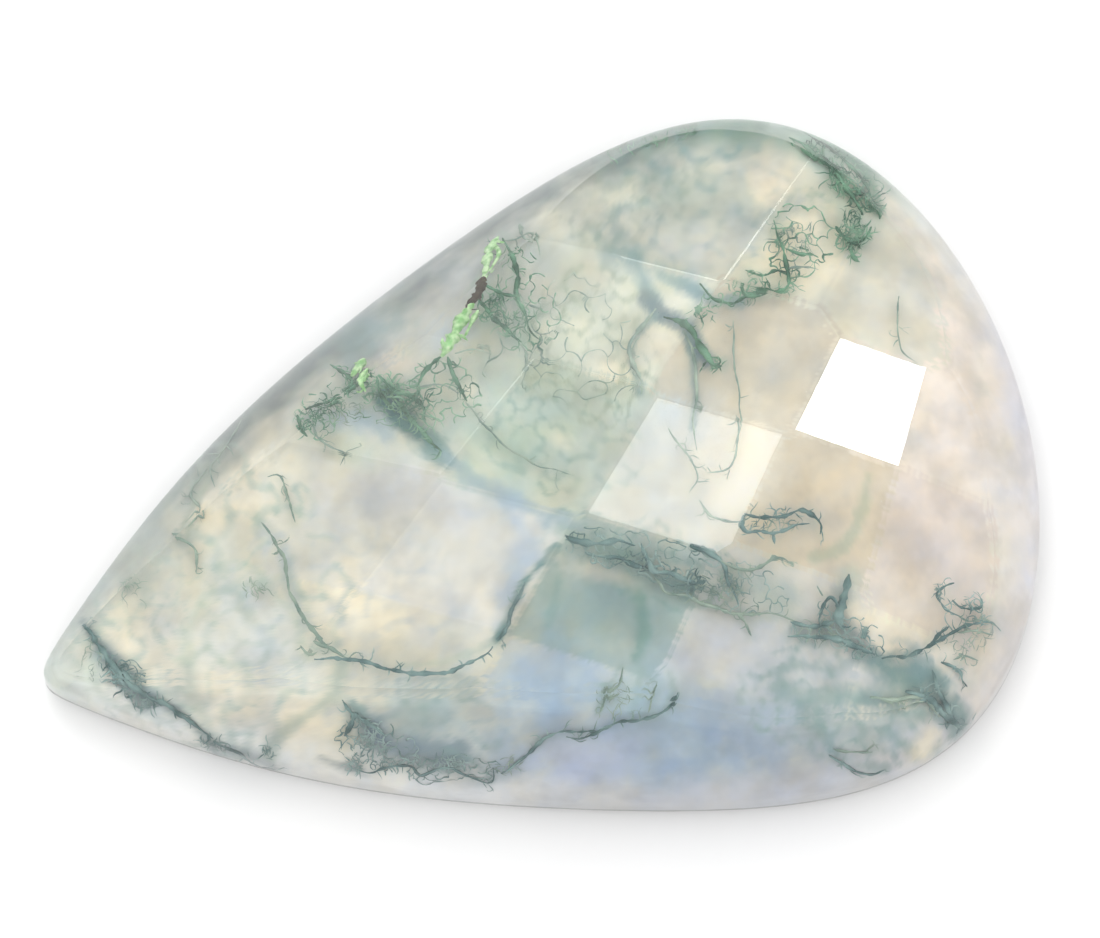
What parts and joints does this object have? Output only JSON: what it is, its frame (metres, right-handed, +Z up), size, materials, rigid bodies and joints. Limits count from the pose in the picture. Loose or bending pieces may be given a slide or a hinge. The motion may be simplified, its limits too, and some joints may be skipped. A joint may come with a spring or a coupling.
{
  "type": "moss agate gemstone",
  "caption": "Pear-cut translucent milky stone with green moss-like inclusions, a checkerboard-faceted crown, a smooth rounded rim and a flat back.",
  "frame": {"origin": "on the flat back, at the middle of the stone's length and width", "axes": "+Z up from the flat back through the crown, -X towards the pointed tip, +X towards the round end, Y across the width"},
  "size_m": [0.016, 0.011, 0.004],
  "materials": {
    "moss_agate": "polished, translucent milky white with beige and blue-grey haze and dark green moss"
  },
  "bodies": {
    "root": {"gemstone": "moss_agate"}
  },
  "joints": []
}
